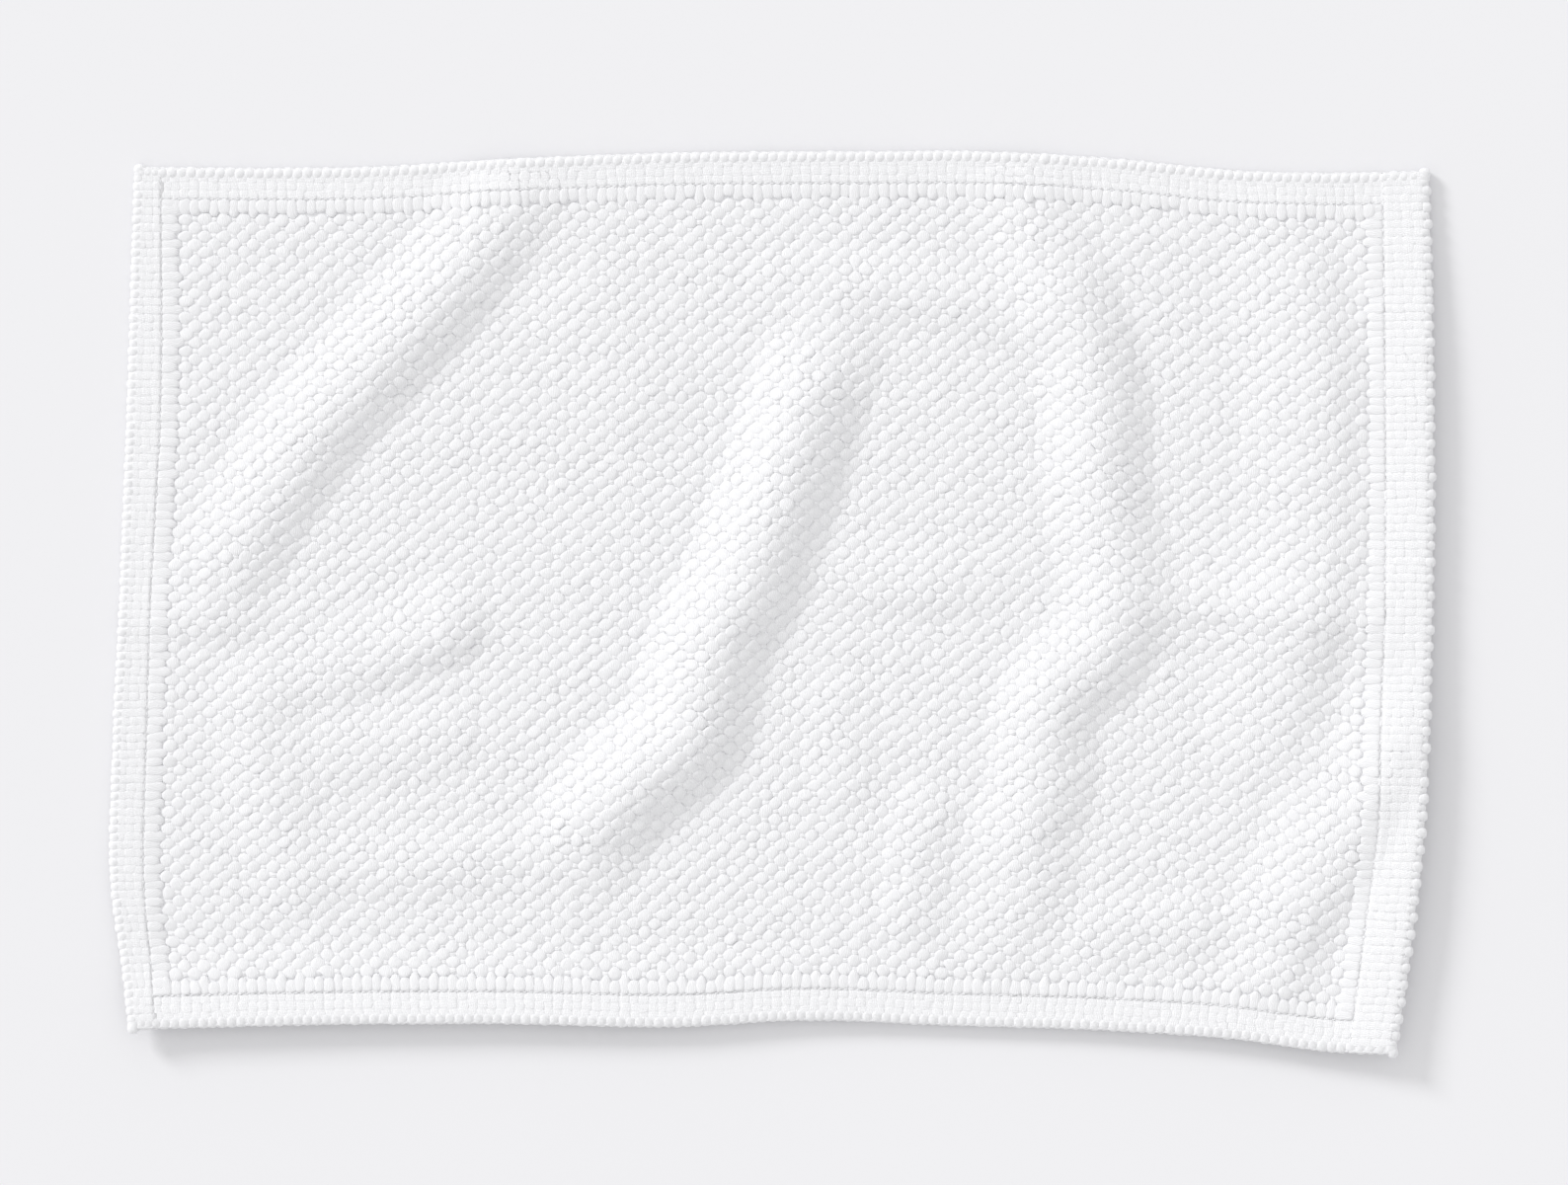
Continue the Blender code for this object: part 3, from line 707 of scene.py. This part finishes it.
HEM_CORE_HALF = 0.0036
HEM_EDGE_HALF = 0.0012                   # what is left of that at the very edge
HEM_ROUND = 0.0050
END_HEM_THINNER = 0.0002                 # the end hems run in under the side hems
HEM_CORE_CELL = 0.0045
SIDE_CELL_HEIGHT = 0.0008
END_CELL_HEIGHT = 0.0005
HEM_VARY = (0.04, 0.03, 0.02)
HEM_CELL_SINK = 0.0002                   # the woven cells sink this far into the core
HEM_CELL_MARGIN = 0.0012
HEM_CELL_JITTER = (0.0007, 0.0002)       # chance offset along u and along v
HEM_TUCK = 0.0020                        # the turned-under edge reaches this far past the seam
CORE_INSET = 0.0012                      # the core stops this far inside the outer edge
BEAD_ROOM = 0.0042                       # and the side cells leave this much for the turns of yarn
side_hem_cell = model_pillow(
    "side hem cell", 8, (0.9, 0.55), 0.0076, 0.0120, SIDE_CELL_HEIGHT, 2.8, 2.8,
)
end_hem_cell = model_pillow(
    "end hem cell", 8, (0.9, 0.55), 0.0086, 0.0084, END_CELL_HEIGHT, 2.8, 2.8,
)


def hem_half(u, v):
    """Half the doubled cloth's thickness under the woven cells, less towards the outer fold."""
    inset = np.minimum(HALF_LENGTH - abs(u), HALF_WIDTH - abs(v))
    bare = np.clip(1 - inset / HEM_ROUND, 0, 1)
    return np.maximum(HEM_CORE_HALF * np.sqrt(1 - bare ** 2), HEM_EDGE_HALF)


def hem_band(name, node, u_range, v_range, cell, turn, cells_within, thinner=0.0):
    """A hem: the doubled cloth inside, and its woven cells on the face and the reverse."""
    core = flat_sheet(f"{name}_core", u_range, v_range, HEM_CORE_CELL,
                      lambda u, v: hem_half(u, v) - thinner, band_cotton)
    first_u = math.floor((u_range[0] - LEFT_SEAM_U) / COLUMN_PITCH)
    last_u = math.ceil((u_range[1] - LEFT_SEAM_U) / COLUMN_PITCH)
    first_v = math.floor((TOP_SEAM_V - v_range[1]) / ROW_PITCH)
    last_v = math.ceil((TOP_SEAM_V - v_range[0]) / ROW_PITCH)
    i, j = np.meshgrid(np.arange(first_u, last_u), np.arange(first_v, last_v))
    u = (LEFT_SEAM_U + (i + 0.5) * COLUMN_PITCH).ravel()
    v = (TOP_SEAM_V - (j + 0.5) * ROW_PITCH).ravel()
    inside = (u > u_range[0] + HEM_CELL_MARGIN) & (u < u_range[1] - HEM_CELL_MARGIN)
    inside &= (v > v_range[0] + HEM_CELL_MARGIN) & (v < v_range[1] - HEM_CELL_MARGIN)
    u = u[inside] + chance.normal(0, HEM_CELL_JITTER[0], inside.sum())
    v = v[inside] + chance.normal(0, HEM_CELL_JITTER[1], inside.sum())
    pieces = [core]
    for side, label in ((1, "face"), (-1, "back")):
        level = hem_half(u, v) - thinner - HEM_CELL_SINK
        pieces.append(
            lay_copies(f"{name}_{label}_weave", cell, u, v, level, side, band_cotton, turn, HEM_VARY,
                       within=cells_within)
        )
    for piece in pieces:
        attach(piece, "root")
        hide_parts(node)
    return pieces


full_v = (-HALF_WIDTH + CORE_INSET, HALF_WIDTH - CORE_INSET)
field_u = (LEFT_SEAM_U + SEAM_CLEAR, RIGHT_SEAM_U - SEAM_CLEAR)
left_u = (-HALF_LENGTH + CORE_INSET, LEFT_SEAM_U + HEM_TUCK)
right_u = (RIGHT_SEAM_U - HEM_TUCK, HALF_LENGTH - CORE_INSET)
bottom_v = (-HALF_WIDTH + CORE_INSET, BOTTOM_SEAM_V + HEM_TUCK)
top_v = (TOP_SEAM_V - HEM_TUCK, HALF_WIDTH - CORE_INSET)
hems = [
    *hem_band("left_hem", "hem_left", left_u, full_v, side_hem_cell, math.pi / 2,
              (-HALF_LENGTH + BEAD_ROOM, LEFT_SEAM_U - SEAM_CLEAR, *full_v)),
    *hem_band("right_hem", "hem_right", right_u, full_v, side_hem_cell, math.pi / 2,
              (RIGHT_SEAM_U + SEAM_CLEAR, HALF_LENGTH - BEAD_ROOM, *full_v)),
    *hem_band("bottom_hem", "hem_bottom", field_u, bottom_v, end_hem_cell, 0,
              (*field_u, bottom_v[0], BOTTOM_SEAM_V - SEAM_CLEAR), END_HEM_THINNER),
    *hem_band("top_hem", "hem_top", field_u, top_v, end_hem_cell, 0,
              (*field_u, TOP_SEAM_V + SEAM_CLEAR, top_v[1]), END_HEM_THINNER),
]


# ==== Outer edge ====
# At the fold each yarn turns round the last one it crosses and comes back underneath, a plump
# bead on the side edges, one standing a little prouder than the next.

BEAD_ROUNDING = 2.5
BEAD_LEAN = 0.04
SIDE_BEAD = (0.0076, 0.0090, 0.0044)     # along the edge, through the cloth, outwards
END_BEAD = (0.0096, 0.0088, 0.0046)
SIDE_BEAD_INSET = 0.0044
END_BEAD_INSET = 0.0052
SIDE_PROUD = 0.0008                      # every other bead stands out by this, the rest stand back
LEFT_PROUD_SHARE = 0.3
END_PROUD = 0.0001
SIDE_SWELL = 0.12                        # and is larger by this share
LEFT_SWELL = 1.1


def model_bead(name, along_edge, through, outwards):
    """A yarn's turn round the fold: a plump bead, its length through the cloth on Y, out on Z."""
    bpy.ops.object.select_all(action="DESELECT")
    bpy.ops.mesh.primitive_uv_sphere_add(segments=12, ring_count=8, radius=1)
    bead = bpy.context.object
    bead.name = name
    bpy.ops.object.mode_set(mode="EDIT")
    bpy.ops.mesh.select_all(action="SELECT")
    bpy.ops.transform.rotate(value=math.pi / 2, orient_axis="X", center_override=(0, 0, 0))
    bpy.ops.object.mode_set(mode="OBJECT")
    points = np.array([vert.co for vert in bead.data.vertices])
    faces = [tuple(face.vertices) for face in bead.data.polygons]
    bpy.data.objects.remove(bead)
    turn = np.arctan2(points[:, 0], points[:, 2])
    uvs = np.stack((turn * along_edge / 2, points[:, 1] * through / 2), axis=-1) * 1000
    rounding = (abs(points) ** BEAD_ROUNDING).sum(axis=1) ** (1 / BEAD_ROUNDING)
    points /= rounding[:, None]
    points *= (along_edge / 2, through / 2, outwards)
    return points, faces, uvs


def edge_beads(name, model, u, v, out_u, out_v, proud, swell, uneven):
    """Beads round a fold: each stands on the edge with its length through the cloth.

    (out_u, out_v) is the flat way out, proud how far each bead stands out, swell scales it along
    the edge, and uneven is the share by which its size changes by chance.
    """
    points, faces, uvs = model
    count = len(u)
    place, along_u, along_v, normal = cloth_frames(u, v)
    out = out_u * along_u + out_v * along_v
    out -= (out * normal).sum(axis=-1, keepdims=True) * normal
    out /= np.linalg.norm(out, axis=-1, keepdims=True)
    run = np.cross(normal, out)
    size = 1 + chance.normal(0, uneven, (count, 3)).clip(-2 * uneven, 2 * uneven)
    size[:, 0] *= swell
    local = points[None] * size[:, None, :]
    lean = chance.normal(0, BEAD_LEAN, (count, 1))
    spots = (
        place[:, None]
        + (local[..., :1] + lean[..., None] * local[..., 2:]) * run[:, None]
        + local[..., 1:2] * normal[:, None]
        + (local[..., 2:] + proud[:, None, None]) * out[:, None]
    )
    spots[..., 2] = np.maximum(spots[..., 2], FLOOR_CLEAR)
    offsets = chance.uniform(0, 400, (count, 1, 2))
    yarn = uvs[None] + offsets
    piece = finish_mesh(name, spots.reshape(-1, 3), faces, yarn.reshape(-1, 2), band_cotton)
    bpy.ops.object.select_all(action="DESELECT")
    piece.select_set(True)
    bpy.context.view_layer.objects.active = piece
    bpy.ops.object.mode_set(mode="EDIT")
    bpy.ops.mesh.select_all(action="SELECT")
    bpy.ops.mesh.normals_make_consistent(inside=False)
    bpy.ops.object.mode_set(mode="OBJECT")
    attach(piece, "root")
    return piece


side_bead = model_bead("side bead", *SIDE_BEAD)
end_bead = model_bead("end bead", *END_BEAD)
side_rows = np.arange(HALF_WIDTH - 0.5 * ROW_PITCH, -HALF_WIDTH, -ROW_PITCH)
end_columns = np.arange(
    -HALF_LENGTH + 0.8 * COLUMN_PITCH, HALF_LENGTH - 0.5 * COLUMN_PITCH, COLUMN_PITCH,
)
side_turn = (-1) ** np.arange(len(side_rows))
end_turn = (-1) ** np.arange(len(end_columns))
side_proud = SIDE_PROUD * side_turn + chance.normal(0, 0.0002, len(side_rows))
end_proud = END_PROUD * end_turn + chance.normal(0, 0.0001, len(end_columns))
side_swell = 1 + SIDE_SWELL * side_turn
left_fold_u = np.full_like(side_rows, -HALF_LENGTH + SIDE_BEAD_INSET)
bottom_fold_v = np.full_like(end_columns, -HALF_WIDTH + END_BEAD_INSET)
edges = [
    edge_beads("left_edge_beads", side_bead, left_fold_u, side_rows, -1, 0,
               LEFT_PROUD_SHARE * side_proud, LEFT_SWELL, 0.03),
    edge_beads("right_edge_beads", side_bead, -left_fold_u, side_rows, 1, 0,
               side_proud, side_swell, 0.05),
    edge_beads("bottom_edge_beads", end_bead, end_columns, bottom_fold_v, 0, -1, end_proud, 1, 0.02),
    edge_beads("top_edge_beads", end_bead, end_columns, -bottom_fold_v, 0, 1, end_proud, 1, 0.02),
]


# ==== Seam stitches ====
# A lockstitch of white cotton thread holds each hem down, close to its root. It is pulled in so
# that it lies below the yarns; the needle thread shows on the face and the bobbin's underneath.

STITCH_LENGTH = 0.0036
STITCH_WIDTH = 0.0010
STITCH_HEIGHT = 0.0006
STITCH_GAP = 0.0008
STITCH_BASE = 0.0035
STITCH_VARY = (0.05, 0.04, 0.02)
SIDE_SEAM_SHORT = 0.004                  # each seam stops this far inside its ends
END_SEAM_SHORT = 0.003
stitch = model_pillow("stitch", 8, (0.7,), STITCH_WIDTH, STITCH_LENGTH, STITCH_HEIGHT, 2.2, 2.4)


def seam_stitches(name, side, u_ends, v_ends, node):
    """The stitches of one seam, end to end, on the face (1) or the reverse (-1) of the cloth."""
    run = math.hypot(u_ends[1] - u_ends[0], v_ends[1] - v_ends[0])
    count = int(run / (STITCH_LENGTH + STITCH_GAP))
    share = (np.arange(count) + 0.5) / count
    u = u_ends[0] + share * (u_ends[1] - u_ends[0])
    v = v_ends[0] + share * (v_ends[1] - v_ends[0])
    turn = math.pi / 2 if u_ends[0] != u_ends[1] else 0.0
    piece = lay_copies(name, stitch, u, v, STITCH_BASE, side, sewing_cotton, turn, STITCH_VARY)
    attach(piece, "root")
    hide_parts(node)
    return piece


seam_v = (-HALF_WIDTH + SIDE_SEAM_SHORT, HALF_WIDTH - SIDE_SEAM_SHORT)
seam_u = (LEFT_SEAM_U + END_SEAM_SHORT, RIGHT_SEAM_U - END_SEAM_SHORT)
for where, u_ends, v_ends in (
    ("left", (LEFT_SEAM_U, LEFT_SEAM_U), seam_v),
    ("right", (RIGHT_SEAM_U, RIGHT_SEAM_U), seam_v),
    ("bottom", seam_u, (BOTTOM_SEAM_V, BOTTOM_SEAM_V)),
    ("top", seam_u, (TOP_SEAM_V, TOP_SEAM_V)),
):
    for side, thread in ((1, "needle"), (-1, "bobbin")):
        seam_stitches(f"{thread}_stitches_{where}", side, u_ends, v_ends,
                          f"{thread}_thread_{where}")


# ==== Floor, light and camera ====
# A plain pale floor under a bright even room light, one large soft lamp from the upper left, and
# a camera straight above.

FLOOR_SIZE = 12
ROOM_LIGHT = 0.873
SUN_HEIGHT = math.radians(26)
SUN_FROM = (-0.77, 0.64)
SUN_STRENGTH = 1.615
SUN_SOFTNESS = math.radians(16)
CAMERA_PLACE = (0.0085, 0.0068, 6.0)
VIEW_WIDTH = 1.080
SENSOR_WIDTH = 36


def pale_floor():
    """Plain pale floor with a faint cloud in its colour."""
    bpy.ops.object.select_all(action="DESELECT")
    bpy.ops.mesh.primitive_plane_add(size=FLOOR_SIZE, location=(0, 0, 0))
    floor = bpy.context.object
    floor.name = "floor"
    material = bpy.data.materials.new("Pale floor")
    material.use_nodes = True
    nodes, links = material.node_tree.nodes, material.node_tree.links
    shader = nodes["Principled BSDF"]
    shader.inputs["Roughness"].default_value = 0.9
    shader.inputs["Specular IOR Level"].default_value = 0.1
    place = nodes.new("ShaderNodeTexCoord")
    cloud = nodes.new("ShaderNodeTexNoise")
    cloud.inputs["Scale"].default_value = 3.0
    mix = nodes.new("ShaderNodeMix")
    mix.data_type = "RGBA"
    mix.inputs[6].default_value = (0.795, 0.793, 0.81, 1)
    mix.inputs[7].default_value = (0.805, 0.803, 0.82, 1)
    links.new(place.outputs["Object"], cloud.inputs["Vector"])
    links.new(cloud.outputs["Fac"], mix.inputs["Factor"])
    links.new(mix.outputs[2], shader.inputs["Base Color"])
    floor.data.materials.append(material)


pale_floor()

scene = bpy.context.scene
scene.view_settings.view_transform = "Standard"
scene.view_settings.look = "None"
world = bpy.data.worlds.new("Even room light")
world.use_nodes = True
world.node_tree.nodes["Background"].inputs["Color"].default_value = (1, 1, 1, 1)
world.node_tree.nodes["Background"].inputs["Strength"].default_value = ROOM_LIGHT
scene.world = world

sun_light = bpy.data.lights.new("Soft lamp", "SUN")
sun_light.energy = SUN_STRENGTH
sun_light.angle = SUN_SOFTNESS
sun = bpy.data.objects.new("Soft lamp", sun_light)
scene.collection.objects.link(sun)
sun.rotation_euler = (math.pi / 2 - SUN_HEIGHT, 0, math.atan2(-SUN_FROM[0], SUN_FROM[1]) + math.pi)

camera_data = bpy.data.cameras.new("Camera overhead")
camera_data.sensor_width = SENSOR_WIDTH
camera_data.lens = SENSOR_WIDTH * CAMERA_PLACE[2] / VIEW_WIDTH
camera = bpy.data.objects.new("Camera overhead", camera_data)
camera.location = CAMERA_PLACE
scene.collection.objects.link(camera)
scene.camera = camera
